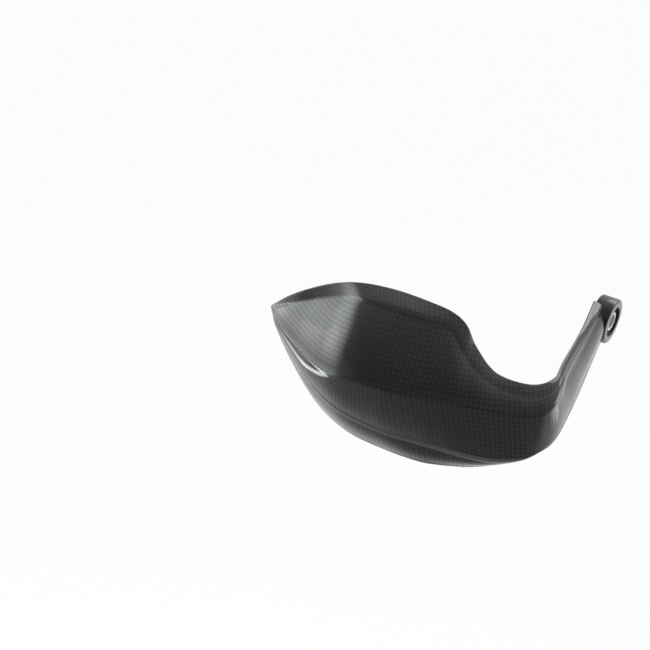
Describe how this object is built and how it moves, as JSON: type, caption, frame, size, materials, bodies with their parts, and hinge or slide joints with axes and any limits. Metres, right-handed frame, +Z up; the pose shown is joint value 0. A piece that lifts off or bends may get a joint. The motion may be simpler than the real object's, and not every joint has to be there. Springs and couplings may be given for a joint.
{
  "type": "motorcycle hand guard",
  "caption": "Right-hand carbon-fibre motorcycle hand guard with a creased face, stepped skirt and an arm to a bar-end eye with a light grey bush.",
  "frame": {"origin": "centre of the bush's face that the handlebar end rests on", "axes": "+X outward along the handlebar end's bore, +Y rearward to the rider, +Z up; the face looks to -Y"},
  "size_m": [0.2765, 0.2452, 0.1329],
  "materials": {
    "carbon_shell": "clear-coated fine carbon weave",
    "carbon_liner": "satin carbon",
    "bush_metal": "satin, clear anodised"
  },
  "bodies": {
    "root": {"shell": "carbon_shell", "arm_liner": "carbon_liner", "bar_end_bush": "bush_metal"}
  },
  "joints": []
}
